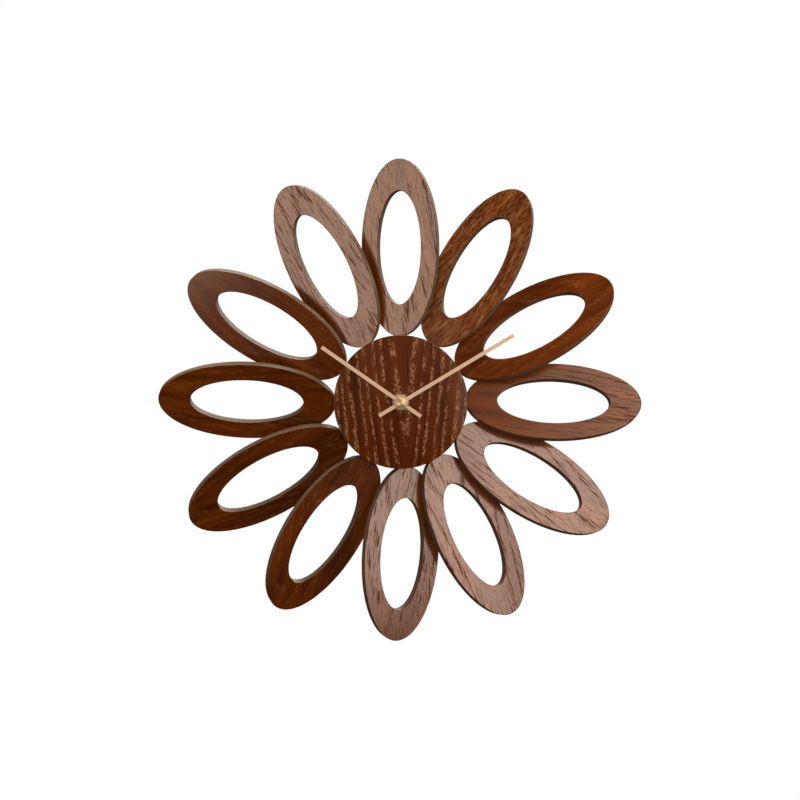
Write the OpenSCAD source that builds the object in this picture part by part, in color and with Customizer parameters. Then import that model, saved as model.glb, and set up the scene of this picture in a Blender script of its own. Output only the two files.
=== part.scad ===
// Wall clock: twelve oval wooden rings set as a pinwheel round a small dial disc, with a
// battery movement behind the disc. The wall is the plane y = 0, the clock faces -y and z is up.
// Inside front() a piece is drawn as a person facing the clock sees it: x to the right, y up
// and z out of the wall. Bearings are degrees clockwise from 12 o'clock.

/* [Rings] */
// Length of an oval ring, along the clock's radius
petal_length = 146; // [138:1:146]
// Width of an oval ring
petal_width = 64.6; // [60:0.2:65]
// Length of the opening in a ring
window_length = 93.4; // [84:0.2:94]
// Width of the opening in a ring
window_width = 37; // [30:0.5:38]
// Thickness of the board that the rings are cut from
petal_thick = 8.5; // [7:0.1:8.5]
// Tilt of a ring about its long axis
petal_tilt = 17; // [17:0.5:18]
// Distance from the clock's centre to the middle of a ring
petal_ring_r = 127; // [127:1:132]
// Distance from the wall to the middle of a ring
petal_mid = 17.5; // [16.5:0.5:17.5]
// Diameter of the dowel that holds a ring
dowel_d = 4; // [3:0.5:4]
// Length of a dowel inside its ring
dowel_in_petal = 20; // [12:1:22]
// Length of a dowel behind the tip of its ring
dowel_behind_tip = 11; // [8:0.5:11]

/* [Hub and dial] */
// Diameter of the dial disc
dial_d = 110; // [109:1:112]
// Thickness of the dial disc
dial_thick = 9; // [8:0.5:10]
// Diameter of the hub block behind the dial disc
hub_d = 106; // [104:1:106]
// Thickness of the hub block
hub_thick = 24.5; // [24.5:0.5:25]
// Thickness of the wood between the movement and the dial disc
hub_web = 6; // [6:0.5:6.5]
// Width and height of the recess for the movement
recess_w = 58; // [57:0.5:59]
// Radius of the recess's corners
recess_corner = 4; // [2:0.5:5]

/* [Hands] */
// Hour that the hands show
hour_shown = 10; // [0:1:11]
// Minute that the hands show
minute_shown = 9.85; // [0:0.05:59.95]
// Length of the hour hand from the centre to its tip
hour_reach = 79; // [60:1:90]
// Length of the hour hand's tail
hour_tail = 20; // [10:1:25]
// Width of the hour hand
hour_w = 3; // [2:0.1:5]
// Length of the minute hand from the centre to its tip
minute_reach = 107; // [90:1:120]
// Length of the minute hand's tail
minute_tail = 21; // [10:1:25]
// Width of the minute hand
minute_w = 3; // [2:0.1:5]
// Thickness of the metal of both hands
hand_thick = 0.8; // [0.4:0.1:1]
// Diameter of the round boss of the hour hand
hour_boss_d = 11.3; // [9:0.1:12]
// Diameter of the round boss of the minute hand
minute_boss_d = 8.6; // [6:0.1:9]
// Diameter of the cap nut's flange
cap_d = 9.6; // [8:0.1:10]
// Diameter of the cap nut's turned button
button_d = 7.8; // [6:0.1:8]
// Width of the hexagon nut across its flats
nut_across_flats = 12.8; // [12:0.1:14]

/* [Hanger] */
// Height of the keyhole's round end above the clock's centre
keyhole_y = 37; // [36:0.5:38]
// Diameter of the keyhole's round end
keyhole_d = 9; // [7:0.5:9]
// Width of the keyhole's slot
keyhole_slot_w = 4.5; // [3.5:0.5:5]
// Length of the slot above the round end's centre
keyhole_rise = 6; // [5:0.5:7]

/* [Movement] */
// Width and height of the movement's case
case_w = 56; // [56:1:56]
// Distance from the wall to the rear of the case
case_rear = 2; // [2:0.5:2]
// Thickness of the case
case_deep = 16; // [16:0.5:16]
// Thickness of the case's walls
case_wall = 1.4; // [1.2:0.1:1.4]
// Diameter of the battery
cell_d = 14.5; // [14:0.1:14.5]
// Length of the battery, with its positive nub
cell_length = 50.5; // [50:0.1:50.5]

/* [Hidden] */
$fn = 96;

// small overlap that lets a cut pass a face
cut = 1;
// radial gaps: round a turning shaft, round a seat that grips, and for the glue on a dowel
running_gap = 0.05;
grip_gap = 0.02;
glue_gap = 0.05;

// each ring's own [turn of its place, lean about its middle], in degrees clockwise, from
// 12 o'clock on: the rings are set by hand, so they are a degree or two off
petal_set = [
    [0, 0], [0, 0.5], [1, 0.5], [0.5, 1], [0.5, 1.5], [1.5, 2.5],
    [0, 4], [0.5, 2], [0, 1.5], [0.5, 1.5], [0, 0], [1.5, 1.5]
];

// levels, as distances from the wall
recess_floor = hub_thick - hub_web;
case_front = case_rear + case_deep;
case_inner_front = case_front - case_wall;
dial_front = hub_thick + dial_thick;
washer_thick = 0.5;
washer_r = 6.2;
nut_base = dial_front + washer_thick;
nut_thick = 2.6;
bushing_end = nut_base + nut_thick + 0.4;
hour_hand_z = bushing_end + 1;
hour_pipe_end = hour_hand_z + hand_thick + 0.2;
minute_hand_z = hour_hand_z + 3;
cap_z = minute_hand_z + hand_thick;
cap_tall = 4.8;
arbor_end = cap_z + 2;
cover_front = case_rear + 1.2;
pivot_hole_floor = case_rear + 0.6;
boss_top = cover_front + 0.6;
plate_rear = 12;
plate_front = 13;
plate_half = 21;
plate_low = -8.6;
plate_high = 15.4;
case_corner = 3;

// levels of the wheels and pinions, from the rear of the case to its front
pivot_rear = 2.8;
rotor_pinion_z = [4, 5.6];
intermediate_z = [4.2, 5.2];
intermediate_pinion_z = [5.2, 7.3];
second_z = [6, 7];
second_pinion_z = [7, 9.6];
magnet_z = [7, 10];
third_z = [8.1, 9.1];
third_pinion_z = [9.1, 11.6];
minute_arbor_rear = 10.1;
centre_z = [10.3, 11.3];
clutch_front = 11.6;
minute_shoulder = 11.8;
pivot_front = 12.8;
cannon_z = [13.3, 14.7];
motion_z = [13.5, 14.5];
motion_pinion_z = [14.5, 16.4];
hour_z = [15, 16.2];
second_arbor_front = 16;

// radii of the hollow shafts on the clock's axis, each with running clearance
second_arbor_r = 0.5;
minute_bore_r = second_arbor_r + running_gap;
minute_arbor_r = 1.7;
hour_bore_r = minute_arbor_r + running_gap;
hour_pipe_r = 2.5;
bushing_bore_r = hour_pipe_r + running_gap;
bushing_r = 4;
bushing_hole_r = 4.1;
flange_r = 7;
rubber_r = 14;
pivot_r = 0.4;
pivot_hole_r = pivot_r + running_gap;
train_arbor_r = 0.6;
rotor_arbor_r = 1;
magnet_r = 3;
minute_seat_r = 1.1;
minute_shoulder_r = 1.3;
clutch_r = 2.6;
setting_arbor_r = 1;
setting_hole_r = setting_arbor_r + running_gap;
motion_post_r = 0.9;
motion_bore_r = motion_post_r + running_gap;
boss_r = 1.1;
centre_boss_r = 1.3;

// gear teeth: counts and modules
pressure_angle = 25;
wheel_addendum = 0.7;
pinion_addendum = 0.8;
dedendum = 1;
tooth_share = 0.86;
centre_teeth = 64;
third_teeth = 60;
second_teeth = 32;
intermediate_teeth = 60;
pinion_teeth = 8;
cannon_teeth = 12;
motion_teeth = 36;
motion_pinion_teeth = 10;
hour_teeth = 40;
centre_module = 0.26;
rotor_module = 0.2;
intermediate_module = 0.47;
motion_module = 0.36;
third_spacing = (centre_teeth + pinion_teeth) / 2 * centre_module;
third_module = third_spacing * 2 / (third_teeth + pinion_teeth);
intermediate_spacing = (second_teeth + pinion_teeth) / 2 * intermediate_module;
rotor_spacing = (intermediate_teeth + pinion_teeth) / 2 * rotor_module;
motion_spacing = (cannon_teeth + motion_teeth) / 2 * motion_module;
hour_module = motion_spacing * 2 / (motion_pinion_teeth + hour_teeth);

// bearings from one arbor to the next
third_bearing = -40;
intermediate_bearing = 50;
rotor_bearing = 60;
motion_bearing = 70;
setting_bearing = 100;

// places of the arbors, seen from the front
function toward(bearing, distance) = [distance * sin(bearing), distance * cos(bearing)];
third_at = toward(third_bearing, third_spacing);
intermediate_at = toward(intermediate_bearing, intermediate_spacing);
rotor_at = intermediate_at + toward(rotor_bearing, rotor_spacing);
motion_at = toward(motion_bearing, motion_spacing);
setting_at = motion_at + toward(setting_bearing, motion_spacing);

// battery bay, below the gear train
bay_top = -11;
train_floor = -9.6;
inner_half = case_w / 2 - case_wall;
cell_y = (bay_top - inner_half) / 2;
cell_z = 9.55;
nub_length = 1;
nub_d = 5.5;
bay_wall = 1;
notch = 0.7;
notch_z = [4.5, 8];
contact_thick = 0.3;
contact_half = 6;
contact_z = [4, 15];
strip_z = [5, 7.5];
cell_right = inner_half - contact_thick - 0.1;
cell_left = cell_right - cell_length;

// coil, above and to the right of the rotor
coil_y = 21;
coil_z = 9.4;
stator_rear = 8;
stator_front = 9;
stator_arm = 3;
stator_half = 8;
stator_round_r = 5.2;
stator_hole_r = magnet_r + 0.4;
core_front = 9.8;
bobbin_half = 4.5;
bobbin_tube_r = 1.9;
bobbin_flange_r = 3.3;
winding_half = 3.8;
winding_r = 3;

// circuit board, above and to the left, and the parts on it
board_x = [-21.5, 2];
board_y = [17, 25.5];
board_rear = 6;
board_front = 6.8;
crystal_at = [-17, 19.5];
crystal_r = 1;
crystal_length = 6;
chip_at = [-6, 20.5];
chip_r = [2.6, 1.8];
chip_tall = 1;

// screws of the movement: [x, y, level under the head]
small_shank_r = 0.8;
small_shank = 4.8;
small_head_r = 1.4;
small_head = 0.8;
small_recess = [1.6, 0.45];
plate_post_r = 1.6;
small_post_r = 1.4;
cover_post_r = 2;
plate_screws = [for (x = [-18.5, 18.5], y = [-6.5, 13]) [x, y, plate_rear]];
arm_middle = stator_half - stator_arm / 2;
stator_screws = [for (side = [-1, 1]) [rotor_at[0] + side * arm_middle, coil_y, stator_rear]];
board_screws = [for (x = [-19, 0]) [x, 23.5, board_rear]];
cover_screws = [for (x = [-24, 24], y = [-7, 24]) [x, y, case_rear]];
small_screws = concat(plate_screws, stator_screws, board_screws, cover_screws);

// disc screws, between the dowels
disc_screw_ring = 47;
disc_screw_length = 30;
disc_screw_head_z = 0.4;
disc_shank_r = 2;
disc_head_r = 4;

// hanger
hanger_w = 32;
hanger_h = 17;
hanger_y = 39.5;
hanger_rear = 0.3;
hanger_front = 1.5;
hanger_corner = 2;
hanger_screw_x = 11;
hanger_screw_length = 11;
hanger_shank_r = 1.4;
hanger_head_r = 2.8;
keyhole_pocket = 9;
pocket_margin = 1;

// time-setting knob
knob_r = 5;
knob_z = [0.4, 1.8];
knob_recess = 1;
knob_grips = 20;
grip_r = 0.5;

// wood screws: radius of the point, and the recess's width in head radii and its depth
point_r = 0.3;
recess_share = 1.1;
recess_deep = 1.1;

wood = [0.36, 0.19, 0.08];
dark_wood = [0.30, 0.13, 0.05];
board_brown = [0.56, 0.44, 0.33];
rose_gold = [0.82, 0.65, 0.50];
brass = [0.80, 0.62, 0.33];
steel = [0.70, 0.71, 0.73];
black_plastic = [0.09, 0.09, 0.10];
white_plastic = [0.90, 0.90, 0.87];

// ---- drawing aids ----

// turns a piece drawn as the viewer sees it into the clock's own axes
module front() {
    rotate([90, 0, 0])
        children();
}

// round solid between two levels
module disc(r, z0, z1) {
    translate([0, 0, z0])
        cylinder(r = r, h = z1 - z0);
}

// block between two corners
module slab(x0, x1, y0, y1, z0, z1) {
    translate([x0, y0, z0])
        cube([x1 - x0, y1 - y0, z1 - z0]);
}

// block centred on the axis, with round corners
module round_slab(w, h, r, z0, z1) {
    slab(-w / 2 + r, w / 2 - r, -h / 2, h / 2, z0, z1);
    slab(-w / 2, w / 2, -h / 2 + r, h / 2 - r, z0, z1);
    for (x = [-1, 1], y = [-1, 1])
        translate([x * (w / 2 - r), y * (h / 2 - r), 0])
            disc(r, z0, z1);
}

// oval board centred on the origin
module oval(w, h, thick) {
    translate([0, 0, -thick / 2])
        linear_extrude(thick)
            scale([w / 2, h / 2])
                circle(1);
}

// half the angle that a tooth takes at a radius
function half_tooth(teeth, base_r, r) =
    let (roll = acos(min(1, base_r / r)))
    tooth_share * 90 / teeth
        + (tan(pressure_angle) * 180 / PI - pressure_angle)
        - (tan(roll) * 180 / PI - roll);

function polar(r, bearing) = [r * sin(bearing), r * cos(bearing)];

// involute gear between two levels, with a tooth at the bearing
module gear(teeth, size, addendum, bearing, z) {
    pitch_r = teeth * size / 2;
    base_r = pitch_r * cos(pressure_angle);
    root_r = pitch_r - dedendum * size;
    tip_r = pitch_r + addendum * size;
    flank = root_r < base_r ? [root_r, base_r, pitch_r, tip_r] : [root_r, pitch_r, tip_r];
    steps = len(flank);
    function reach(i) = half_tooth(teeth, base_r, max(base_r, flank[i]));
    rotate([0, 0, -bearing])
        translate([0, 0, z[0]])
            linear_extrude(z[1] - z[0])
                polygon([
                    for (t = [0 : teeth - 1])
                        each concat(
                            [for (i = [0 : steps - 1]) polar(flank[i], t * 360 / teeth - reach(i))],
                            [for (i = [steps - 1 : -1 : 0]) polar(flank[i], t * 360 / teeth + reach(i))]
                        )
                ]);
}

// cross recess of a screw, cut from the head's rear face
module cross_recess(width, deep, z) {
    for (turn = [0, 90])
        rotate([0, 0, turn])
            slab(-width / 2, width / 2, -width / 7, width / 7, z - cut, z + deep);
}

// countersunk wood screw with its head to the rear
module wood_screw(shank_r, head_r, length, z) {
    difference() {
        union() {
            translate([0, 0, z])
                cylinder(r1 = head_r, r2 = shank_r, h = head_r - shank_r);
            disc(shank_r, z, z + length - 2 * shank_r);
            translate([0, 0, z + length - 2 * shank_r])
                cylinder(r1 = shank_r, r2 = point_r, h = 2 * shank_r);
        }
        cross_recess(head_r * recess_share, recess_deep, z);
    }
}

// ---- rings and dial ----

module petal_frame(hour) {
    turn = petal_set[hour % 12][0];
    lean = petal_set[hour % 12][1];
    rotate([0, 0, -(30 * hour + turn)])
        translate([0, petal_ring_r, petal_mid])
            rotate([0, 0, -lean])
                rotate([0, -petal_tilt, 0])
                    children();
}

// dowel along a ring's long axis, or its hole when a gap is given
module dowel(gap = 0) {
    translate([0, -petal_length / 2 - dowel_behind_tip - gap, 0])
        rotate([-90, 0, 0])
            cylinder(r = dowel_d / 2 + gap, h = dowel_behind_tip + dowel_in_petal + 2 * gap);
}

module petal(hour) {
    color(wood)
        front()
            petal_frame(hour)
                difference() {
                    oval(petal_width, petal_length, petal_thick);
                    oval(window_width, window_length, petal_thick + 2 * cut);
                    dowel(glue_gap);
                }
}

module petal_dowels() {
    color(board_brown)
        front()
            for (hour = [1 : 12])
                petal_frame(hour)
                    dowel();
}

module disc_screw_places() {
    for (bearing = [45 : 90 : 315])
        rotate([0, 0, -bearing])
            translate([0, disc_screw_ring, 0])
                children();
}

module hub_block() {
    pocket_r = keyhole_d / 2 + pocket_margin;
    color(board_brown)
        front()
            difference() {
                disc(hub_d / 2, 0, hub_thick);
                round_slab(recess_w, recess_w, recess_corner, -cut, recess_floor);
                disc(bushing_hole_r, 0, hub_thick + cut);
                for (hour = [1 : 12])
                    petal_frame(hour)
                        dowel(glue_gap);
                disc_screw_places() {
                    disc(disc_shank_r, -cut, hub_thick + cut);
                    disc(disc_head_r, -cut, disc_screw_head_z);
                    translate([0, 0, disc_screw_head_z])
                        cylinder(r1 = disc_head_r, r2 = disc_shank_r, h = disc_head_r - disc_shank_r);
                }
                translate([0, hanger_y, 0])
                    round_slab(hanger_w, hanger_h, hanger_corner, -cut, hanger_front);
                for (rise = [0, keyhole_rise])
                    translate([0, keyhole_y + rise, 0])
                        disc(pocket_r, 0, keyhole_pocket);
                slab(-pocket_r, pocket_r, keyhole_y, keyhole_y + keyhole_rise, 0, keyhole_pocket);
                hanger_screw_places()
                    wood_screw(hanger_shank_r, hanger_head_r, hanger_screw_length, hanger_rear);
            }
}

module dial_disc() {
    color(dark_wood)
        front()
            difference() {
                disc(dial_d / 2, hub_thick, dial_front);
                disc(bushing_hole_r, hub_thick - cut, dial_front + cut);
                disc_screw_places()
                    disc(disc_shank_r, hub_thick - cut, disc_screw_head_z + disc_screw_length);
            }
}

module disc_screws() {
    color(steel)
        front()
            disc_screw_places()
                wood_screw(disc_shank_r, disc_head_r, disc_screw_length, disc_screw_head_z);
}

module hanger_screw_places() {
    for (side = [-1, 1])
        translate([side * hanger_screw_x, hanger_y, 0])
            children();
}

module hanger_plate() {
    color(steel)
        front()
            difference() {
                translate([0, hanger_y, 0])
                    round_slab(hanger_w, hanger_h, hanger_corner, hanger_rear, hanger_front);
                translate([0, keyhole_y, 0])
                    disc(keyhole_d / 2, hanger_rear - cut, hanger_front + cut);
                translate([0, keyhole_y + keyhole_rise, 0])
                    disc(keyhole_slot_w / 2, hanger_rear - cut, hanger_front + cut);
                slab(-keyhole_slot_w / 2, keyhole_slot_w / 2, keyhole_y, keyhole_y + keyhole_rise,
                    hanger_rear - cut, hanger_front + cut);
                hanger_screw_places() {
                    translate([0, 0, hanger_rear])
                        cylinder(r1 = hanger_head_r, r2 = hanger_shank_r, h = hanger_head_r - hanger_shank_r);
                    disc(hanger_shank_r, hanger_rear, hanger_front + cut);
                }
            }
}

module hanger_screws() {
    color(steel)
        front()
            hanger_screw_places()
                wood_screw(hanger_shank_r, hanger_head_r, hanger_screw_length, hanger_rear);
}

// ---- hands and their fixings ----

module hand(width, reach, tail, boss_d, bore_r, z) {
    difference() {
        union() {
            slab(-width / 2, width / 2, -tail, reach, z, z + hand_thick);
            disc(boss_d / 2, z, z + hand_thick);
        }
        disc(bore_r, z - cut, z + hand_thick + cut);
    }
}

module hour_hand() {
    color(rose_gold)
        front()
            rotate([0, 0, -(30 * hour_shown + minute_shown / 2)])
                hand(hour_w, hour_reach, hour_tail, hour_boss_d, hour_pipe_r, hour_hand_z);
}

module minute_hand() {
    color(rose_gold)
        front()
            rotate([0, 0, -6 * minute_shown])
                hand(minute_w, minute_reach, minute_tail, minute_boss_d, minute_arbor_r, minute_hand_z);
}

module cap_nut() {
    flange = 1.6;
    crown = 0.5;
    button_r = button_d / 2;
    crown_r = (button_r * button_r + crown * crown) / (2 * crown);
    color(brass)
        front()
            difference() {
                union() {
                    disc(cap_d / 2, cap_z, cap_z + flange);
                    intersection() {
                        translate([0, 0, cap_z + cap_tall - crown_r])
                            sphere(crown_r);
                        disc(button_r, cap_z + flange, cap_z + cap_tall + cut);
                    }
                }
                disc(minute_arbor_r, cap_z - cut, arbor_end);
            }
}

module fixing_nut() {
    corner_r = nut_across_flats / 2 / cos(30);
    chamfer = 0.5;
    chamfer_in = 0.9;
    color(brass)
        front()
            difference() {
                intersection() {
                    translate([0, 0, nut_base])
                        cylinder(r = corner_r, h = nut_thick, $fn = 6);
                    union() {
                        disc(corner_r + cut, nut_base, nut_base + nut_thick - chamfer);
                        translate([0, 0, nut_base + nut_thick - chamfer])
                            cylinder(r1 = corner_r, r2 = corner_r - chamfer_in, h = chamfer);
                    }
                }
                disc(bushing_r, nut_base - cut, nut_base + nut_thick + cut);
            }
}

module brass_washer() {
    color(brass)
        front()
            difference() {
                disc(washer_r, dial_front, nut_base);
                disc(bushing_hole_r, dial_front - cut, nut_base + cut);
            }
}

module rubber_washer() {
    color(black_plastic)
        front()
            difference() {
                disc(rubber_r, case_front, recess_floor);
                disc(flange_r + 0.1, case_front - cut, recess_floor + cut);
            }
}

module fixing_bushing() {
    color(brass)
        front()
            difference() {
                union() {
                    disc(bushing_r, case_inner_front, bushing_end);
                    disc(flange_r, case_front, recess_floor);
                }
                disc(bushing_bore_r, case_inner_front - cut, bushing_end + cut);
            }
}

// ---- case of the movement ----

module screw_holes(screws) {
    for (s = screws)
        translate([s[0], s[1], 0])
            disc(small_shank_r, s[2] - cut, s[2] + small_shank);
}

// post that stands on the inside of the case's front wall
module post(x, y, r, z) {
    translate([x, y, 0])
        disc(r, z, case_inner_front + 0.1);
}

module movement_case() {
    color(black_plastic)
        front()
            difference() {
                union() {
                    difference() {
                        round_slab(case_w, case_w, case_corner, case_rear, case_front);
                        slab(-inner_half, inner_half, train_floor, inner_half,
                            case_rear - cut, case_inner_front);
                        slab(-inner_half, inner_half, -inner_half, bay_top,
                            case_rear - cut, case_front - bay_wall);
                        for (side = [-1, 1])
                            translate([side * (inner_half - notch / 2), 0, 0])
                                slab(-notch / 2, notch / 2, bay_top - cut, train_floor + cut,
                                    notch_z[0], notch_z[1]);
                    }
                    for (s = plate_screws)
                        post(s[0], s[1], plate_post_r, plate_front);
                    for (s = stator_screws)
                        post(s[0], s[1], small_post_r, core_front);
                    for (s = board_screws)
                        post(s[0], s[1], small_post_r, board_front);
                    for (s = cover_screws)
                        post(s[0], s[1], cover_post_r, cover_front);
                }
                disc(bushing_r, case_inner_front - cut, case_front + cut);
                screw_holes(small_screws);
            }
}

module train_plate() {
    color(white_plastic)
        front()
            difference() {
                union() {
                    slab(-plate_half, plate_half, plate_low, plate_high, plate_rear, plate_front);
                    translate([motion_at[0], motion_at[1], 0])
                        disc(motion_post_r, plate_front - 0.1, case_inner_front - 0.1);
                }
                disc(minute_shoulder_r + running_gap, plate_rear - cut, plate_front + cut);
                for (p = [third_at, intermediate_at, rotor_at])
                    translate([p[0], p[1], 0])
                        disc(pivot_hole_r, plate_rear - cut, plate_front + cut);
                translate([setting_at[0], setting_at[1], 0])
                    disc(setting_hole_r, plate_rear - cut, plate_front + cut);
                screw_holes(plate_screws);
            }
}

module rear_cover() {
    gap = 0.2;
    color(black_plastic)
        front()
            difference() {
                union() {
                    slab(-inner_half + gap, inner_half - gap, train_floor + gap, inner_half - gap,
                        case_rear, cover_front);
                    disc(centre_boss_r, case_rear, boss_top);
                    for (p = [third_at, intermediate_at, rotor_at])
                        translate([p[0], p[1], 0])
                            disc(boss_r, case_rear, boss_top);
                }
                disc(second_arbor_r + running_gap, pivot_hole_floor, boss_top + cut);
                for (p = [third_at, intermediate_at, rotor_at])
                    translate([p[0], p[1], 0])
                        disc(pivot_hole_r, pivot_hole_floor, boss_top + cut);
                translate([setting_at[0], setting_at[1], 0])
                    disc(setting_hole_r, case_rear - cut, cover_front + cut);
                screw_holes(cover_screws);
            }
}

module movement_screws() {
    color(steel)
        front()
            for (s = small_screws)
                translate([s[0], s[1], 0])
                    difference() {
                        union() {
                            disc(small_head_r, s[2] - small_head, s[2]);
                            disc(small_shank_r, s[2], s[2] + small_shank);
                        }
                        cross_recess(small_recess[0], small_recess[1], s[2] - small_head);
                    }
}

// ---- motion work, which turns with the hands ----

module hour_wheel() {
    color(white_plastic)
        front()
            difference() {
                union() {
                    gear(hour_teeth, hour_module, wheel_addendum, motion_bearing, hour_z);
                    disc(hour_pipe_r, hour_z[0], hour_pipe_end);
                }
                disc(hour_bore_r, hour_z[0] - cut, hour_pipe_end + cut);
            }
}

module motion_wheel() {
    color(white_plastic)
        front()
            translate([motion_at[0], motion_at[1], 0])
                difference() {
                    union() {
                        gear(motion_teeth, motion_module, wheel_addendum, motion_bearing + 180, motion_z);
                        gear(motion_pinion_teeth, hour_module, pinion_addendum,
                            motion_bearing + 180 + 180 / motion_pinion_teeth, motion_pinion_z);
                    }
                    disc(motion_bore_r, motion_z[0] - cut, motion_pinion_z[1] + cut);
                }
}

module minute_arbor() {
    color(steel)
        front()
            difference() {
                union() {
                    disc(minute_seat_r, minute_arbor_rear, arbor_end);
                    disc(minute_shoulder_r, minute_shoulder, cannon_z[0]);
                    gear(cannon_teeth, motion_module, pinion_addendum,
                        motion_bearing + 180 / cannon_teeth, cannon_z);
                    disc(minute_arbor_r, cannon_z[0], arbor_end);
                }
                disc(minute_bore_r, minute_arbor_rear - cut, case_front);
            }
}

// ---- going train, driven by the stepping motor ----

module centre_wheel() {
    color(white_plastic)
        front()
            difference() {
                gear(centre_teeth, centre_module, wheel_addendum, third_bearing, centre_z);
                disc(minute_seat_r + grip_gap, centre_z[0] - cut, centre_z[1] + cut);
            }
}

module clutch_spring() {
    color(brass)
        front()
            difference() {
                disc(clutch_r, centre_z[1], clutch_front);
                disc(minute_seat_r + running_gap, centre_z[1] - cut, clutch_front + cut);
            }
}

module third_wheel() {
    color(white_plastic)
        front()
            translate([third_at[0], third_at[1], 0]) {
                gear(third_teeth, third_module, wheel_addendum, third_bearing + 180, third_z);
                gear(pinion_teeth, centre_module, pinion_addendum,
                    third_bearing + 180 + 180 / pinion_teeth, third_pinion_z);
                disc(train_arbor_r, boss_top + 0.2, third_pinion_z[1]);
                disc(pivot_r, pivot_rear, pivot_front);
            }
}

module second_wheel() {
    color(white_plastic)
        front() {
            gear(second_teeth, intermediate_module, wheel_addendum, intermediate_bearing, second_z);
            gear(pinion_teeth, third_module, pinion_addendum,
                third_bearing + 180 / pinion_teeth, second_pinion_z);
            disc(second_arbor_r, pivot_rear, second_arbor_front);
        }
}

module intermediate_wheel() {
    color(white_plastic)
        front()
            translate([intermediate_at[0], intermediate_at[1], 0]) {
                gear(intermediate_teeth, rotor_module, wheel_addendum, rotor_bearing, intermediate_z);
                gear(pinion_teeth, intermediate_module, pinion_addendum,
                    intermediate_bearing + 180 + 180 / pinion_teeth, intermediate_pinion_z);
                disc(train_arbor_r, intermediate_z[0], third_pinion_z[1]);
                disc(pivot_r, pivot_rear, pivot_front);
            }
}

module rotor_arbor() {
    color(white_plastic)
        front()
            translate([rotor_at[0], rotor_at[1], 0]) {
                gear(pinion_teeth, rotor_module, pinion_addendum,
                    rotor_bearing + 180 + 180 / pinion_teeth, rotor_pinion_z);
                disc(rotor_arbor_r, rotor_pinion_z[1], magnet_z[1] + 0.4);
                disc(pivot_r, pivot_rear, pivot_front);
            }
}

module rotor_magnet() {
    color(steel)
        front()
            translate([rotor_at[0], rotor_at[1], 0])
                difference() {
                    disc(magnet_r, magnet_z[0], magnet_z[1]);
                    disc(rotor_arbor_r, magnet_z[0] - cut, magnet_z[1] + cut);
                }
}

// ---- stepping motor, circuit and battery ----

module stator() {
    x = rotor_at[0];
    y = rotor_at[1];
    half_arm = stator_arm / 2;
    arm_top = coil_y + half_arm;
    color(steel)
        front()
            difference() {
                union() {
                    translate([x, y, 0])
                        disc(stator_round_r, stator_rear, stator_front);
                    slab(x - stator_half, x + stator_half, y - half_arm, y + half_arm,
                        stator_rear, stator_front);
                    slab(x - stator_half, x - stator_half + stator_arm, y - half_arm, arm_top,
                        stator_rear, stator_front);
                    slab(x + stator_half - stator_arm, x + stator_half, y - half_arm, arm_top,
                        stator_rear, stator_front);
                }
                translate([x, y, 0])
                    disc(stator_hole_r, stator_rear - cut, stator_front + cut);
                screw_holes(stator_screws);
            }
}

module coil_core() {
    x = rotor_at[0];
    color(steel)
        front()
            difference() {
                slab(x - stator_half, x + stator_half, coil_y - stator_arm / 2, coil_y + stator_arm / 2,
                    stator_front, core_front);
                screw_holes(stator_screws);
            }
}

// solid that lies along the coil's axis, between two distances from the rotor
module along_coil(r, x0, x1) {
    translate([rotor_at[0] + x0, coil_y, coil_z])
        rotate([0, 90, 0])
            cylinder(r = r, h = x1 - x0);
}

module coil_bobbin() {
    color(white_plastic)
        front()
            difference() {
                union() {
                    along_coil(bobbin_tube_r, -bobbin_half, bobbin_half);
                    along_coil(bobbin_flange_r, -bobbin_half, -winding_half);
                    along_coil(bobbin_flange_r, winding_half, bobbin_half);
                }
                slab(rotor_at[0] - bobbin_half - cut, rotor_at[0] + bobbin_half + cut,
                    coil_y - stator_arm / 2, coil_y + stator_arm / 2, stator_front, core_front);
            }
}

module coil_winding() {
    color([0.72, 0.36, 0.16])
        front()
            difference() {
                along_coil(winding_r, -winding_half, winding_half);
                along_coil(bobbin_tube_r, -winding_half - cut, winding_half + cut);
            }
}

module circuit_board() {
    color([0.10, 0.35, 0.18])
        front()
            difference() {
                slab(board_x[0], board_x[1], board_y[0], board_y[1], board_rear, board_front);
                screw_holes(board_screws);
            }
}

module crystal() {
    color(steel)
        front()
            translate([crystal_at[0], crystal_at[1], board_front + crystal_r])
                rotate([0, 90, 0])
                    cylinder(r = crystal_r, h = crystal_length);
}

module chip() {
    color(black_plastic)
        front()
            translate([chip_at[0], chip_at[1], board_front])
                cylinder(r1 = chip_r[0], r2 = chip_r[1], h = chip_tall);
}

// tab against a pole of the battery, and a strip from it round the case to the circuit board
module positive_contact() {
    near = inner_half - 0.1 - contact_thick;
    far = inner_half - 0.1;
    pad = [-15, -12];
    color(steel)
        front() {
            slab(near, far, cell_y - contact_half, cell_y + contact_half, contact_z[0], contact_z[1]);
            slab(near, far, cell_y, far, strip_z[0], strip_z[1]);
            slab(pad[0], far, near, far, strip_z[0], strip_z[1]);
            slab(pad[0], pad[1], board_y[1] - 0.9, far, board_front, board_front + contact_thick);
        }
}

module negative_contact() {
    near = inner_half - 0.1 - contact_thick;
    far = inner_half - 0.1;
    pad = [18, 21];
    spring_half = 3.5;
    spring_thick = 0.6;
    color(steel)
        front() {
            slab(-far, -near, cell_y - contact_half, cell_y + contact_half, contact_z[0], contact_z[1]);
            slab(-far, -near, cell_y, pad[1], strip_z[0], strip_z[1]);
            slab(-far, board_x[0] + 1, pad[0], pad[1], board_front, board_front + contact_thick);
            translate([0, cell_y + 2, 0])
                rotate([90, 0, 0])
                    linear_extrude(4)
                        polygon([
                            [-near, cell_z + spring_half], [cell_left, cell_z], [-near, cell_z - spring_half],
                            [-near, cell_z - spring_half + spring_thick],
                            [cell_left - 0.4, cell_z],
                            [-near, cell_z + spring_half - spring_thick]
                        ]);
        }
}

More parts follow.
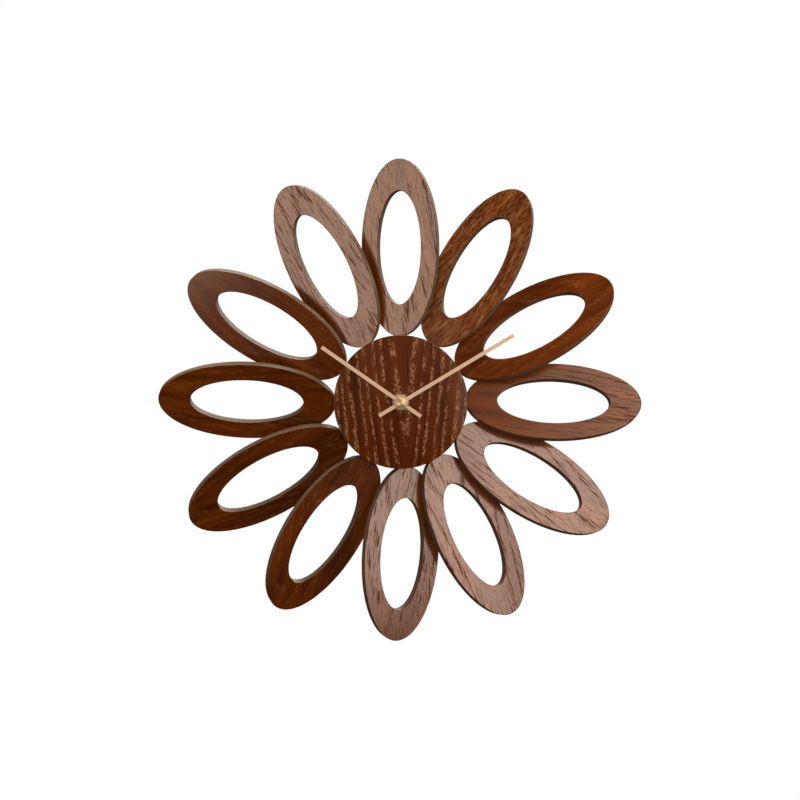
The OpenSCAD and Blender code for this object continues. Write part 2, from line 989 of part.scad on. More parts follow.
module battery_cell() {
    color([0.55, 0.57, 0.60])
        front()
            translate([cell_left, cell_y, cell_z])
                rotate([0, 90, 0]) {
                    cylinder(d = cell_d, h = cell_length - nub_length);
                    cylinder(d = nub_d, h = cell_length);
                }
}

// ---- time setting ----

module setting_arbor() {
    color(white_plastic)
        front()
            translate([setting_at[0], setting_at[1], 0]) {
                gear(cannon_teeth, motion_module, pinion_addendum,
                    setting_bearing + 180 + 180 / cannon_teeth, cannon_z);
                disc(setting_arbor_r, knob_recess, cannon_z[1]);
            }
}

module setting_knob() {
    color(white_plastic)
        front()
            translate([setting_at[0], setting_at[1], 0])
                difference() {
                    disc(knob_r, knob_z[0], knob_z[1]);
                    disc(setting_arbor_r, knob_recess, knob_z[1] + cut);
                    for (i = [0 : knob_grips - 1])
                        rotate([0, 0, i * 360 / knob_grips])
                            translate([knob_r + grip_r / 2, 0, 0])
                                disc(grip_r, knob_z[0] - cut, knob_z[1] + cut);
                }
}

petal(1);  // petal_01
petal(2);  // petal_02
petal(3);  // petal_03
petal(4);  // petal_04
petal(5);  // petal_05
petal(6);  // petal_06
petal(7);  // petal_07
petal(8);  // petal_08
petal(9);  // petal_09
petal(10);  // petal_10
petal(11);  // petal_11
petal(12);  // petal_12
petal_dowels();
hub_block();
dial_disc();
disc_screws();
hanger_plate();
hanger_screws();
hour_hand();
minute_hand();
cap_nut();
fixing_nut();
brass_washer();
rubber_washer();
fixing_bushing();
movement_case();
train_plate();
rear_cover();
movement_screws();
hour_wheel();
motion_wheel();
minute_arbor();
centre_wheel();
clutch_spring();
third_wheel();
second_wheel();
intermediate_wheel();
rotor_arbor();
rotor_magnet();
stator();
coil_core();
coil_bobbin();
coil_winding();
circuit_board();
crystal();
chip();
positive_contact();
negative_contact();
battery_cell();
setting_arbor();
setting_knob();
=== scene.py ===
"""Looks of the wall clock: veneered oval rings round a dial disc, bar hands, and the movement behind.

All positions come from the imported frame. Lengths are metres, and MM turns millimetres into metres.
The shaders measure their patterns in millimetres.
"""

import math

import bmesh
import bpy
import numpy as np
from mathutils import Matrix, Vector


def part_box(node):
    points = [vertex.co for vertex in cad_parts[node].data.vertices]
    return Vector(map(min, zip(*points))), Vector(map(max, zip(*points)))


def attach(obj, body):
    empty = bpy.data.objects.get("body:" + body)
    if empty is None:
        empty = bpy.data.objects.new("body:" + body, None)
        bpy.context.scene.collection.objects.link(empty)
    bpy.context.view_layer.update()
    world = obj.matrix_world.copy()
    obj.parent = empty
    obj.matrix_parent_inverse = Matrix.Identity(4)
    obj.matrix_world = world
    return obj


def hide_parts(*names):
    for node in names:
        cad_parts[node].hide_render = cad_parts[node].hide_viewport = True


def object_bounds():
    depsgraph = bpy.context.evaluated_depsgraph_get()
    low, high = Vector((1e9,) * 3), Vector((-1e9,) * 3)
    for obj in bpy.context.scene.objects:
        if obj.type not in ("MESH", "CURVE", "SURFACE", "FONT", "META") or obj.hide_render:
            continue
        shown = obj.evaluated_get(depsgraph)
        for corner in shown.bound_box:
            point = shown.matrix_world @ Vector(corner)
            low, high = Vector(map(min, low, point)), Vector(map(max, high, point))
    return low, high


MM = 0.001
HOURS = range(1, 13)
BODY = "clock_body"

# material slots of a veneered board
FRONT, SIDE, BACK = range(3)

# edge of a veneered board: its rounding in front and behind, and the small step under the veneer
VENEER_THICK = 0.7 * MM
FRONT_EASE = 0.45 * MM
BACK_EASE = 0.3 * MM
STEP_IN = 0.06 * MM
STEP_DOWN = 0.05 * MM

RING_SEGMENTS = 256
DISC_SEGMENTS = 192
DISC_BORE_RADIUS = 4.1 * MM
SHARP_ANGLE = math.radians(32)

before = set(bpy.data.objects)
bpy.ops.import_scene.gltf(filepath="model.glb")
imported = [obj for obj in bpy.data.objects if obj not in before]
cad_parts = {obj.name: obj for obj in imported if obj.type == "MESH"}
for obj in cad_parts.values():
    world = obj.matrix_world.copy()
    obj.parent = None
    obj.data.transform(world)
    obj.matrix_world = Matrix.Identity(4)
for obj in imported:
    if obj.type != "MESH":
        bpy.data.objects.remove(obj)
cad_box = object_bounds()


# ---------------------------------------------------------------- node graphs


def srgb(r, g, b):
    """Linear colour of an 8-bit display colour."""
    def channel(c):
        c /= 255
        return c / 12.92 if c <= 0.04045 else ((c + 0.055) / 1.055) ** 2.4
    return (channel(r), channel(g), channel(b), 1.0)


def shaded(colour, factor, lift=0.0):
    """A linear colour made darker or lighter by a factor, then raised by lift."""
    return tuple(factor * c + lift for c in colour[:3]) + (1.0,)


class Graph:
    """A material's node tree, with one short call for each kind of node."""

    def __init__(self, name):
        self.material = bpy.data.materials.new(name)
        self.material.use_nodes = True
        self.tree = self.material.node_tree
        self.shader = self.tree.nodes["Principled BSDF"]

    def node(self, kind, **settings):
        made = self.tree.nodes.new(kind)
        for key, value in settings.items():
            setattr(made, key, value)
        return made

    def put(self, socket, value):
        """Links a socket, or sets its constant."""
        if isinstance(value, bpy.types.NodeSocket):
            self.tree.links.new(value, socket)
        else:
            socket.default_value = value

    def math(self, operation, a, b=0.0, c=0.0):
        made = self.node("ShaderNodeMath", operation=operation)
        for socket, value in zip(made.inputs, (a, b, c)):
            self.put(socket, value)
        return made.outputs[0]

    def scaled(self, value, gain, base=0.0):
        """gain times a value, plus a base."""
        return self.math("MULTIPLY_ADD", value, gain, base)

    def place(self, location=(0, 0, 0), angle=0.0):
        """Object coordinates in millimetres, moved and turned about the piece's own normal."""
        source = self.node("ShaderNodeTexCoord").outputs["Object"]
        made = self.node("ShaderNodeMapping")
        self.put(made.inputs["Vector"], source)
        made.inputs["Location"].default_value = location
        made.inputs["Rotation"].default_value = (0, 0, math.radians(angle))
        made.inputs["Scale"].default_value = (1 / MM, 1 / MM, 1 / MM)
        return made.outputs[0]

    def stretch(self, vector, x, y, z=1.0):
        """A vector scaled so that one unit is x, y and z millimetres long."""
        made = self.node("ShaderNodeVectorMath", operation="MULTIPLY")
        self.put(made.inputs[0], vector)
        made.inputs[1].default_value = (1 / x, 1 / y, 1 / z)
        return made.outputs[0]

    def noise(self, vector, detail=2.0, roughness=0.5, scale=1.0, dimensions="3D"):
        made = self.node("ShaderNodeTexNoise", noise_dimensions=dimensions)
        self.put(made.inputs["Vector"], vector)
        made.inputs["Scale"].default_value = scale
        made.inputs["Detail"].default_value = detail
        made.inputs["Roughness"].default_value = roughness
        return made.outputs["Fac"]

    def sheet_noise(self, vector, x, y, detail=1.0, roughness=0.5):
        """Noise over a vector's x and y only, with lumps of x by y millimetres."""
        return self.noise(self.stretch(vector, x, y), detail, roughness, dimensions="2D")

    def sway(self, noise, reach):
        """A noise made to swing by reach to either side of 0."""
        return self.scaled(noise, 2 * reach, -reach)

    def cells(self, vector, x, y):
        """Distance to the nearest of many scattered points, x by y millimetres apart."""
        made = self.node("ShaderNodeTexVoronoi", voronoi_dimensions="2D")
        self.put(made.inputs["Vector"], self.stretch(vector, x, y))
        made.inputs["Scale"].default_value = 1.0
        return made.outputs["Distance"]

    def spot(self, distance, size, beyond, within, level=1.0):
        """level inside a spot and 0 outside, with a rim from size + beyond to size - within."""
        rim = self.math("ADD", size, beyond)
        core = self.math("SUBTRACT", size, within)
        return self.smooth(distance, rim, core, 0.0, level)

    def split(self, vector):
        made = self.node("ShaderNodeSeparateXYZ")
        self.put(made.inputs[0], vector)
        return made.outputs

    def join(self, x, y, z):
        made = self.node("ShaderNodeCombineXYZ")
        for socket, value in zip(made.inputs, (x, y, z)):
            self.put(socket, value)
        return made.outputs[0]

    def smooth(self, value, low, high, to_low=0.0, to_high=1.0):
        """Smooth step of a value between two levels."""
        made = self.node("ShaderNodeMapRange", interpolation_type="SMOOTHSTEP")
        for socket, v in zip(made.inputs, (value, low, high, to_low, to_high)):
            self.put(socket, v)
        return made.outputs[0]

    def mix(self, factor, a, b):
        """Mixes two colours; 6, 7 and 2 are the colour sockets of a Mix node."""
        made = self.node("ShaderNodeMix", data_type="RGBA")
        self.put(made.inputs[0], factor)
        self.put(made.inputs[6], a)
        self.put(made.inputs[7], b)
        return made.outputs[2]

    def bump(self, height, distance, strength):
        made = self.node("ShaderNodeBump")
        self.put(made.inputs["Height"], height)
        made.inputs["Distance"].default_value = distance
        made.inputs["Strength"].default_value = strength
        self.tree.links.new(made.outputs[0], self.shader.inputs["Normal"])

    def finish(self, **values):
        """Sets the shader's sockets, named with _ for a space."""
        for key, value in values.items():
            self.put(self.shader.inputs[key.replace("_", " ")], value)
        return self.material


# ---------------------------------------------------------------- wood


def growth_phase(g, across, y, place, pith, depth, ring, taper):
    """How far through a growth ring each point of a sheet lies, from 0 to 1."""
    season_wander = 1.3
    middle = g.math("SUBTRACT", across, pith + place[0])
    radius = g.math("SQRT", g.scaled(middle, middle, depth * depth))
    climb = g.math("MULTIPLY", g.math("SUBTRACT", y, place[1]), taper)
    from_heart = g.math("ADD", radius, climb)
    seasons = g.sheet_noise(g.join(from_heart, place[2], 0.0), 2.2 * ring, 40, detail=0)
    rings = g.scaled(seasons, season_wander, g.math("DIVIDE", from_heart, ring))
    return g.math("FRACT", rings)


def early_wood(g, phase, share):
    """1 in the early wood, which takes up the first share of each growth ring, and 0 in the late."""
    onset, fade = 0.12, 0.13
    return g.math("MULTIPLY", g.smooth(phase, 0.0, onset), g.smooth(phase, share + fade, share - fade))


def wood_tone(g, silk, phase, contrast):
    """Tone of the wood between its pores, darker towards a growth ring's end, and its fine fibre."""
    late_start, late_darkening = 0.60, 0.20
    fibre = g.sheet_noise(silk, 0.8, 45, detail=2, roughness=0.55)
    broad = g.sheet_noise(silk, 11, 90)
    tone = g.scaled(fibre, contrast, g.math("MULTIPLY", broad, 1 - contrast))
    tone = g.smooth(tone, contrast - 0.20, 1.20 - contrast)
    late = g.smooth(phase, late_start, 1.0)
    return g.math("SUBTRACT", tone, g.math("MULTIPLY", late, late_darkening)), fibre


def veneer(name, place, angle, pith, depth, ring, taper, dark, warm, pore, vessel, reach, contrast,
           bare=0.26, share=0.37):
    """Open-grained veneer whose grain runs along local y.

    place shifts the pattern and angle turns it, pith is the x of the cathedral's middle, depth is
    how far under the sheet the tree's heart lay, ring is the growth rings' spacing and taper how
    fast they climb. dark, warm and pore are the colours. vessel is how far apart the pores lie
    across and along the grain in mm, and reach is a pore's size as a share of that, in early and
    in late wood. contrast is the part that fine fibre has in the wood's tone. bare is the level of
    a slow noise below which pores stay as small as in late wood, and share is the early wood's
    part of a growth ring.
    """
    g = Graph(name)
    p = g.place(place, angle)
    x, y, z = g.split(p)
    drift = g.sway(g.sheet_noise(p, 50, 190), 6)
    wander = g.sway(g.sheet_noise(p, 6, 22), 0.8)
    fray = g.sway(g.sheet_noise(p, 0.8, 2.4, detail=0), 0.15)
    across = g.math("ADD", g.math("ADD", x, drift), wander)
    silk = g.join(across, y, z)
    grain = g.join(g.math("ADD", across, fray), y, z)
    phase = growth_phase(g, across, y, place, pith, depth, ring, taper)

    wide, long = vessel
    most, least = reach
    patch = g.sheet_noise(silk, 5.5 * wide, 2.2 * long)
    zone = g.math("MULTIPLY", early_wood(g, phase, share), g.smooth(patch, bare, bare + 0.20))
    size = g.scaled(zone, most - least, least)
    vessels = g.cells(grain, wide, long)
    finer = g.cells(grain, 0.62 * wide, 0.42 * long)
    broad_pores = g.spot(vessels, size, 0.05, 0.05)
    fine_pores = g.spot(finer, size, 0.02, 0.09)
    pores = g.math("MAXIMUM", broad_pores, g.math("MULTIPLY", fine_pores, 0.8))
    g.bump(g.spot(vessels, size, 0.12, 0.22, level=-1.0), 0.015 * MM, 0.5)

    tone, fibre = wood_tone(g, silk, phase, contrast)
    pore_cover = g.math("MULTIPLY", pores, 0.92)
    polish = g.scaled(fibre, 0.06, 0.15)
    return g.finish(
        Base_Color=g.mix(pore_cover, g.mix(tone, dark, warm), pore),
        Roughness=g.scaled(pores, 0.40, polish),
        Specular_IOR_Level=g.scaled(pores, -0.75, 0.8))


def fibreboard(name, light, dark):
    """Cut edge of fibreboard: fine speckle and faint layers parallel to the board's faces."""
    g = Graph(name)
    p = g.place()
    speck = g.noise(g.stretch(p, 0.5, 0.5, 0.4), detail=4, roughness=0.7)
    layers = g.noise(g.stretch(p, 9, 9, 0.7), detail=2)
    tone = g.smooth(g.scaled(speck, 0.6, g.math("MULTIPLY", layers, 0.4)), 0.32, 0.70)
    g.bump(speck, 0.08 * MM, 0.5)
    return g.finish(Base_Color=g.mix(tone, dark, light), Roughness=g.scaled(speck, 0.2, 0.62))


# ---------------------------------------------------------------- veneered boards


def mesh_object(name, bm, slots):
    """Turns a bmesh into an object that keeps its faces' shading, with sharp edges marked."""
    mesh = bpy.data.meshes.new(name)
    smooth = [face.smooth for face in bm.faces]
    bm.to_mesh(mesh)
    bm.free()
    for material in slots:
        mesh.materials.append(material)
    made = bpy.data.objects.new(name, mesh)
    bpy.context.scene.collection.objects.link(made)
    mesh.set_sharp_from_angle(angle=SHARP_ANGLE)
    mesh.polygons.foreach_set("use_smooth", smooth)
    return made


def skin(name, rows, strips, slots):
    """Closed skin through rows of points, each joined to the next and the last to the first.

    strips holds the slot and the smoothness of the faces that follow each row.
    """
    bm = bmesh.new()
    made = [[bm.verts.new(point) for point in row] for row in rows]
    for here, after, (slot, smooth) in zip(made, made[1:] + made[:1], strips):
        for i in range(len(here)):
            j = (i + 1) % len(here)
            face = bm.faces.new((here[i], after[i], after[j], here[j]))
            face.material_index = slot
            face.smooth = smooth
    bmesh.ops.recalc_face_normals(bm, faces=bm.faces)
    return mesh_object(name, bm, slots)


def board_edge(top, low):
    """Edge of a veneered board: its (inset, level) points from the front face to the back, and
    the slot and smoothness of each stretch between them."""
    bends = [math.radians(a) for a in (0, 30, 60, 90)]
    ease = [(FRONT_EASE * (1 - math.sin(a)), top - FRONT_EASE * (1 - math.cos(a))) for a in bends]
    seam = top - VENEER_THICK
    veneer_edge = [(0.0, seam)]
    board_side = [(STEP_IN, seam - STEP_DOWN), (STEP_IN, low + BACK_EASE), (BACK_EASE, low)]
    stretches = [(FRONT, True)] * len(ease) + [(SIDE, True)] * len(board_side)
    return ease + veneer_edge + board_side, stretches


# ---------------------------------------------------------------- rings


def longest_way(faces, points, middle):
    """Direction in which flat triangles spread most about their middle."""
    spread = np.zeros((3, 3))
    for face in faces:
        corners = points[list(face.vertices)] - np.array(middle)
        total = corners.sum(0)
        spread += face.area / 12 * (corners.T @ corners + np.outer(total, total))
    return Vector(np.linalg.eigh(spread)[1][:, 2])


def measure_board(node):
    """Placement, half sizes, half sizes of the window and thickness of a CAD node's oval board."""
    towards_viewer, same_way = -0.9, 0.9999  # a normal's y, and its cosine with the main normal
    on_face = 0.01 * MM
    window_zone = 0.9  # a share of the outline's half sizes, between the rim and the window
    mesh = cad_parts[node].data
    points = np.array([v.co for v in mesh.vertices])
    facing = [p for p in mesh.polygons if p.normal.y < towards_viewer]
    normal = max(facing, key=lambda p: p.area).normal
    front = [p for p in facing if p.normal.dot(normal) > same_way]
    area = sum(p.area for p in front)
    middle = sum((p.center * p.area for p in front), Vector()) / area
    along = longest_way(front, points, middle)
    if along.dot(middle) < 0:
        along.negate()
    across = along.cross(normal).normalized()
    local = (points - np.array(middle)) @ np.array([across, along, normal]).T
    thick = -local[:, 2].min()
    half = np.abs(local[:, :2]).max(0)
    in_window = ((local[:, :2] / half) ** 2).sum(1) < window_zone ** 2
    inner = local[in_window & (np.abs(local[:, 2]) < on_face)]
    window = np.abs(inner[:, :2]).max(0)
    turn = Matrix((across, along, normal)).transposed().to_4x4()
    place = Matrix.Translation(middle - normal * thick / 2) @ turn
    return place, half, window, thick


def oval_row(half, inset, level):
    """Points round an oval of given half sizes, moved in from its line by inset."""
    row = []
    for i in range(RING_SEGMENTS):
        t = 2 * math.pi * i / RING_SEGMENTS
        at = Vector((half[0] * math.cos(t), half[1] * math.sin(t)))
        out = Vector((math.cos(t) / half[0], math.sin(t) / half[1])).normalized()
        flat = at - out * inset
        row.append((flat.x, flat.y, level))
    return row


def oval_ring(name, half, window, thick, slots):
    """Oval ring with eased edges: a board's edge swept round the outline and round the window."""
    top, low = thick / 2, -thick / 2
    edge, stretches = board_edge(top, low)
    bend = 0.3 * BACK_EASE
    edge.insert(-1, (bend, low + bend))
    stretches.append((BACK, True))
    outer = [oval_row(half, inset, level) for inset, level in edge]
    inner = [oval_row(window, -inset, level) for inset, level in reversed(edge)]
    strips = stretches + [(BACK, False)] + stretches[::-1] + [(FRONT, False)]
    return skin(name, outer + inner, strips, slots)


# three kinds of sheet, by their pores and by how streaky the wood is
SHEETS = {
    "plain": dict(vessel=(0.85, 14.0), reach=(0.15, 0.01), pore=srgb(128, 82, 46), contrast=0.35),
    "lined": dict(vessel=(1.05, 34.0), reach=(0.31, 0.12), pore=srgb(82, 48, 35), contrast=0.35),
    "open": dict(vessel=(0.80, 20.0), reach=(0.29, 0.17), pore=srgb(146, 102, 64), contrast=0.4),
}
# each hour's kind of sheet, from 1 to 12, and a factor that makes its colours lighter or darker
RING_SHEETS = [
    ("open", 1.0), ("plain", 1.05), ("lined", 1.05), ("lined", 1.0), ("lined", 1.0), ("lined", 0.9),
    ("plain", 0.85), ("plain", 0.70), ("plain", 0.95), ("plain", 0.95), ("lined", 0.9), ("lined", 0.9),
]
RING_SEED = 40


def ring_veneer(hour):
    """One hour's veneer: its kind and colour factor are set, and its cut of the tree is drawn at
    random.
    """
    kind, shade = RING_SHEETS[hour - 1]
    rng = np.random.default_rng(RING_SEED + hour)
    return veneer(
        f"ring_veneer_{hour:02d}", tuple(rng.uniform(-400, 400, 3)), rng.uniform(-10, 10),
        pith=rng.uniform(-18, 18), depth=rng.uniform(14, 40), ring=rng.uniform(3.0, 5.2),
        taper=rng.uniform(0.03, 0.12), dark=shaded(srgb(66, 23, 0), shade),
        warm=shaded(srgb(112, 51, 0), shade), **SHEETS[kind])


def add_rings():
    side = fibreboard("ring_edge", srgb(130, 107, 88), srgb(86, 66, 52))
    back = fibreboard("ring_back", srgb(104, 78, 58), srgb(86, 62, 46))
    for hour in HOURS:
        node = f"petal_{hour:02d}"
        place, half, window, thick = measure_board(node)
        ring = oval_ring(f"ring_{hour:02d}", half, window, thick, [ring_veneer(hour), side, back])
        ring.matrix_world = place
        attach(ring, BODY)
        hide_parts(node)


# ---------------------------------------------------------------- dial disc


def round_row(radius, level):
    """Points round the local z axis, clockwise from y as the viewer sees it."""
    turns = [2 * math.pi * i / DISC_SEGMENTS for i in range(DISC_SEGMENTS)]
    return [(radius * math.sin(t), radius * math.cos(t), level) for t in turns]


def add_disc():
    """The dial disc, turned about local z, which then points at the viewer from the disc's back."""
    low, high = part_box("dial_disc")
    radius = (high.x - low.x) / 2
    thick = high.y - low.y
    edge, stretches = board_edge(thick, 0.0)
    outline = [(DISC_BORE_RADIUS, 0.0), (DISC_BORE_RADIUS, thick)]
    outline += [(radius - inset, level) for inset, level in edge]
    strips = [(SIDE, True), (FRONT, True)] + stretches + [(BACK, True)]
    front = veneer(
        "dial_veneer", (12, 40, 0), 0, pith=3, depth=4.5, ring=7.6, taper=-0.09,
        dark=srgb(62, 22, 0), warm=srgb(98, 42, 0), pore=srgb(172, 124, 92), vessel=(0.80, 5.0),
        reach=(0.26, 0.0), contrast=0.4, bare=0.31, share=0.45)
    side = fibreboard("dial_edge", srgb(128, 104, 84), srgb(80, 60, 46))
    back = fibreboard("dial_back", srgb(104, 78, 58), srgb(86, 62, 46))
    disc = skin("dial", [round_row(*point) for point in outline], strips, [front, side, back])
    disc.matrix_world = Matrix.Translation((0, high.y, 0)) @ Matrix.Rotation(math.pi / 2, 4, "X")
    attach(disc, BODY)
    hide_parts("dial_disc")


# ---------------------------------------------------------------- metal, plastic and printed finishes


def metal(name, colour, metallic=1.0, rough=0.3, brush=(0.15, 6.0, 0.15), wear=0.25):
    """Metal with fine brushing and a patchy tarnish. brush is the brush marks' size in mm, which
    run along local y unless told otherwise, and wear is how strong the tarnish is."""
    g = Graph(name)
    p = g.place()
    lines = g.noise(g.stretch(p, *brush), detail=3, roughness=0.65)
    patch = g.noise(g.stretch(p, 9, 9, 9), detail=4)
    tarnish = g.math("MULTIPLY", g.smooth(patch, 0.35, 0.75), wear)
    tone = g.scaled(lines, 0.25, tarnish)
    patchy = g.scaled(patch, 0.10, rough - 0.13)
    g.bump(lines, 0.02 * MM, 0.35)
    return g.finish(
        Base_Color=g.mix(tone, colour, shaded(colour, 0.72)), Metallic=metallic,
        Roughness=g.scaled(lines, 0.16, patchy))


def lathe_metal(name, colour, dull):
    """Metal turned about the hands' axis, whose fine rings draw the highlights out to the rim."""
    g = Graph(name)
    x, y, z = g.split(g.place())
    radius = g.math("SQRT", g.scaled(x, x, g.math("MULTIPLY", z, z)))
    grooves = g.sheet_noise(g.join(radius, y, 0.0), 0.14, 0.4, detail=2)
    around = g.node("ShaderNodeTangent", direction_type="RADIAL", axis="Y")
    g.bump(grooves, 0.01 * MM, 0.4)
    return g.finish(
        Base_Color=g.mix(g.math("MULTIPLY", grooves, 0.6), colour, dull), Metallic=0.85,
        Roughness=g.scaled(grooves, 0.1, 0.38), Tangent=around.outputs[0],
        Anisotropic=0.8, Anisotropic_Rotation=0.25)


def plastic(name, colour, rough=0.45, texture=0.35, bump=0.03):
    """Moulded plastic with a fine grain and a little dust. texture is the grain's size and bump its
    height, in mm."""
    g = Graph(name)
    p = g.place()
    grain = g.noise(g.stretch(p, texture, texture, texture), detail=3, roughness=0.6)
    patch = g.noise(g.stretch(p, 14, 14, 14), detail=4)
    dusty = shaded(colour, 0.93, lift=0.012)
    patchy = g.scaled(patch, 0.14, rough - 0.14)
    g.bump(grain, bump * MM, 0.6)
    return g.finish(
        Base_Color=g.mix(g.smooth(patch, 0.40, 0.66), colour, dusty),
        Roughness=g.scaled(grain, 0.14, patchy))


def circuit(name):
    """Green solder mask with faint copper tracks under it."""
    g = Graph(name)
    p = g.place()
    tracks = g.noise(g.stretch(p, 0.9, 0.9, 0.9), detail=0)
    line = g.smooth(g.math("ABSOLUTE", g.math("SUBTRACT", tracks, 0.5)), 0.05, 0.02)
    speck = g.noise(g.stretch(p, 0.3, 0.3, 0.3), detail=2)
    g.bump(line, 0.02 * MM, 0.5)
    return g.finish(
        Base_Color=g.mix(line, srgb(18, 70, 38), srgb(46, 116, 62)),
        Roughness=g.scaled(speck, 0.2, 0.25))


def winding(name):
    """Enamelled copper wire wound round local x."""
    wire_pitch = 0.25
    g = Graph(name)
    p = g.place()
    turns = g.math("SINE", g.math("MULTIPLY", g.split(p)[0], 2 * math.pi / wire_pitch))
    shade = g.noise(g.stretch(p, 0.8, 3, 3), detail=2)
    g.bump(turns, 0.04 * MM, 0.8)
    return g.finish(
        Base_Color=g.mix(shade, srgb(150, 66, 24), srgb(214, 122, 62)), Metallic=0.8,
        Roughness=0.35)


def sleeve(name, end):
    """Battery sleeve along local x: a dark body, a copper-coloured band at the positive end, whose
    x in mm is end, and bare metal at both ends."""
    band_edge, rim_edge, foot_edge = (15.2, 14.9), (1.6, 1.4), (47.6, 47.8)
    g = Graph(name)
    p = g.place()
    x = g.split(p)[0]
    band, rim, foot = (g.smooth(x, end - a, end - b) for a, b in (band_edge, rim_edge, foot_edge))
    bare = g.math("MAXIMUM", rim, foot)
    grain = g.noise(g.stretch(p, 2, 0.5, 0.5), detail=3)
    body = g.mix(grain, srgb(26, 28, 32), srgb(44, 46, 52))
    printed = g.mix(band, body, srgb(190, 118, 66))
    g.bump(grain, 0.01 * MM, 0.4)
    return g.finish(
        Base_Color=g.mix(bare, printed, srgb(188, 190, 192)),
        Metallic=g.math("MAXIMUM", g.math("MULTIPLY", band, 0.7), bare),
        Roughness=g.scaled(grain, 0.12, 0.24))


# ---------------------------------------------------------------- hands, fixings and movement


def dress(nodes, material, bevel=0.0):
    """Gives CAD pieces a material and, where bevel is given in mm, eased edges."""
    for name in nodes:
        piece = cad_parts[name]
        piece.data.materials.clear()
        piece.data.materials.append(material)
        if bevel:
            weld = piece.modifiers.new("weld", "WELD")
            weld.merge_threshold = 0.002 * MM
            ease = piece.modifiers.new("ease", "BEVEL")
            ease.width = bevel * MM
            ease.segments = 2
            ease.limit_method = "ANGLE"
            ease.angle_limit = math.radians(40)
            ease.harden_normals = True


def dress_hub(brass, steel):
    """The hands, what holds them, the hub block, the rings' dowels and the hanger."""
    hand = metal("hand_gold", (0.68, 0.50, 0.37, 1), metallic=0.45, rough=0.45, wear=0.05)
    satin = lathe_metal("satin_brass", (0.90, 0.74, 0.46, 1), (0.52, 0.40, 0.23, 1))
    aged = metal(
        "aged_brass", (0.44, 0.33, 0.19, 1), metallic=0.55, rough=0.45, brush=(0.5, 0.5, 0.5), wear=0.3)
    zinc = metal("zinc_plate", (0.66, 0.67, 0.70, 1), rough=0.38, brush=(6.0, 0.15, 0.15), wear=0.4)
    rubber = plastic("rubber", srgb(28, 27, 26), rough=0.75, bump=0.06)
    block = fibreboard("hub_board", srgb(142, 106, 76), srgb(92, 64, 44))
    rod = fibreboard("dowel_wood", srgb(196, 158, 116), srgb(150, 112, 76))
    dress(["hour_hand", "minute_hand"], hand, 0.12)
    dress(["brass_washer", "fixing_bushing"], brass, 0.15)
    dress(["cap_nut"], satin, 0.15)
    dress(["fixing_nut"], aged, 0.15)
    dress(["disc_screws", "hanger_screws"], steel)
    dress(["hanger_plate"], zinc, 0.2)
    dress(["rubber_washer"], rubber, 0.3)
    dress(["hub_block"], block, 0.4)
    dress(["petal_dowels"], rod)


def dress_movement(brass, steel):
    """The movement's case, wheels, motor and circuit, and its cell."""
    iron = metal("motor_iron", (0.40, 0.40, 0.42, 1), rough=0.42)
    contact = metal("contact_nickel", (0.72, 0.71, 0.68, 1), rough=0.26)
    magnet = metal("magnet", (0.20, 0.20, 0.22, 1), rough=0.5)
    case = plastic("case_plastic", srgb(30, 30, 32), rough=0.48)
    cover = plastic("cover_plastic", srgb(34, 34, 36), rough=0.40, texture=0.6)
    white = plastic("gear_plastic", srgb(226, 222, 210), rough=0.42)
    cell_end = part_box("battery_cell")[1].x
    dress(["movement_screws", "minute_arbor"], steel)
    dress(["stator", "coil_core"], iron)
    dress(["positive_contact", "negative_contact", "crystal"], contact)
    dress(["clutch_spring"], brass)
    dress(["rotor_magnet"], magnet)
    dress(["movement_case"], case, 0.3)
    dress(["rear_cover"], cover, 0.2)
    dress(["chip"], case)
    dress(["train_plate", "hour_wheel", "motion_wheel", "centre_wheel", "third_wheel", "second_wheel",
           "intermediate_wheel", "rotor_arbor", "coil_bobbin", "setting_arbor"], white)
    dress(["setting_knob"], white, 0.15)
    dress(["circuit_board"], circuit("solder_mask"))
    dress(["coil_winding"], winding("coil_wire"))
    dress(["battery_cell"], sleeve("battery_sleeve", cell_end / MM), 0.3)


def dress_pieces():
    brass = metal("brass", (0.80, 0.60, 0.30, 1), rough=0.28, brush=(0.4, 0.4, 0.4))
    steel = metal("steel", (0.62, 0.62, 0.63, 1), rough=0.34)
    dress_hub(brass, steel)
    dress_movement(brass, steel)


# ---------------------------------------------------------------- stage


def aim(thing, target):
    thing.rotation_euler = (target - thing.location).to_track_quat("-Z", "Y").to_euler()


def add_camera():
    """Camera a little above and left of the clock's axis, as in the photograph."""
    azimuth, elevation, distance = math.radians(-1.1), math.radians(3.0), 1.5
    low, high = cad_box
    centre = Vector((0, 0, (low.z + high.z) / 2))
    data = bpy.data.cameras.new("camera")
    data.sensor_width = 36
    data.lens = 80.4
    camera = bpy.data.objects.new("camera", data)
    camera.location = centre + distance * Vector((
        math.sin(azimuth) * math.cos(elevation),
        -math.cos(azimuth) * math.cos(elevation),
        math.sin(elevation)))
    aim(camera, centre)
    bpy.context.scene.collection.objects.link(camera)
    bpy.context.scene.camera = camera


def add_softbox(name, off_axis, clock, distance, size, power, colour, glossy=True, diffuse=True):
    """Area light off the clock's axis by an angle, at a clock bearing as the camera sees it."""
    data = bpy.data.lights.new(name, "AREA")
    data.shape = "RECTANGLE"
    data.size, data.size_y = size
    data.energy = power
    data.color = colour
    light = bpy.data.objects.new(name, data)
    lean, bearing = math.radians(off_axis), math.radians(clock)
    light.location = distance * Vector((
        math.sin(lean) * math.sin(bearing),
        -math.cos(lean),
        math.sin(lean) * math.cos(bearing)))
    aim(light, Vector((0, 0, 0)))
    light.visible_camera = False
    light.visible_glossy = glossy
    light.visible_diffuse = diffuse
    bpy.context.scene.collection.objects.link(light)


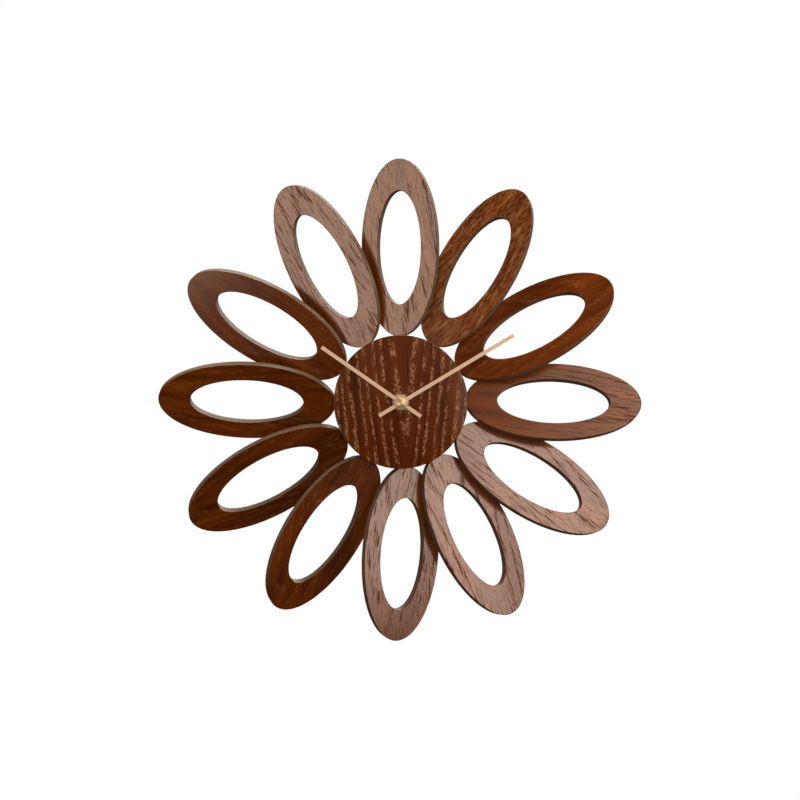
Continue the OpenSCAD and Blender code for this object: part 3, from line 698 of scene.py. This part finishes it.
def add_lights():
    """Three warm boxes seen only in the gloss, one overhead, and fill from three other sides."""
    warm, cream = (1.0, 0.72, 0.54), (1.0, 0.92, 0.80)
    add_softbox("right_box", 34, 60, 2.0, (0.6, 2.5), 26.6, (1.0, 0.77, 0.62), diffuse=False)
    add_softbox("upper_box", 35, 24, 2.0, (0.3, 0.6), 1.2, warm, diffuse=False)
    add_softbox("left_box", 34, 261.5, 2.0, (0.5, 1.32), 9.2, warm, diffuse=False)
    add_softbox("top_box", 80, 350, 1.6, (1.2, 0.6), 22, cream)
    add_softbox("fill", 12, 340, 2.4, (1.4, 1.4), 38, (1.0, 0.92, 0.78), glossy=False)
    add_softbox("side", 66, 85, 2.0, (0.8, 0.8), 16, cream, glossy=False)
    add_softbox("back", 146, 25, 2.2, (1.6, 1.6), 50, (1.0, 0.95, 0.88))


def add_world():
    """White where the camera looks past the clock, and a faint warm glow as light."""
    glossy_level, diffuse_level = 0.012, 0.10
    world = bpy.data.worlds.new("studio")
    bpy.context.scene.world = world
    world.use_nodes = True
    tree = world.node_tree
    tree.nodes.clear()
    seen = tree.nodes.new("ShaderNodeBackground")
    seen.inputs["Color"].default_value = (1, 1, 1, 1)
    around = tree.nodes.new("ShaderNodeBackground")
    around.inputs["Color"].default_value = (1, 0.88, 0.76, 1)
    path = tree.nodes.new("ShaderNodeLightPath")
    dim = tree.nodes.new("ShaderNodeMath")
    dim.operation = "MULTIPLY_ADD"
    dim.inputs[1].default_value = glossy_level - diffuse_level
    dim.inputs[2].default_value = diffuse_level
    tree.links.new(path.outputs["Is Glossy Ray"], dim.inputs[0])
    tree.links.new(dim.outputs[0], around.inputs["Strength"])
    mix = tree.nodes.new("ShaderNodeMixShader")
    out = tree.nodes.new("ShaderNodeOutputWorld")
    tree.links.new(path.outputs["Is Camera Ray"], mix.inputs[0])
    tree.links.new(around.outputs[0], mix.inputs[1])
    tree.links.new(seen.outputs[0], mix.inputs[2])
    tree.links.new(mix.outputs[0], out.inputs[0])


def add_floor():
    half_size, location = 1.3, (0, -0.2, -0.72)
    bm = bmesh.new()
    bmesh.ops.create_grid(bm, x_segments=1, y_segments=1, size=half_size)
    g = Graph("floor_paint")
    grain = g.noise(g.place(), detail=3, scale=0.05)
    tone = g.mix(grain, (0.86, 0.86, 0.85, 1), (0.90, 0.90, 0.89, 1))
    pale = g.finish(Base_Color=tone, Roughness=0.8, Emission_Color=tone, Emission_Strength=0.35)
    floor = mesh_object("floor", bm, [pale])
    floor.location = location
    floor.visible_glossy = False
    floor.visible_diffuse = False


def set_view():
    view = bpy.context.scene.view_settings
    view.view_transform = "Standard"
    view.look = "None"


add_camera()
add_lights()
add_world()
add_floor()
set_view()
add_rings()
add_disc()
dress_pieces()
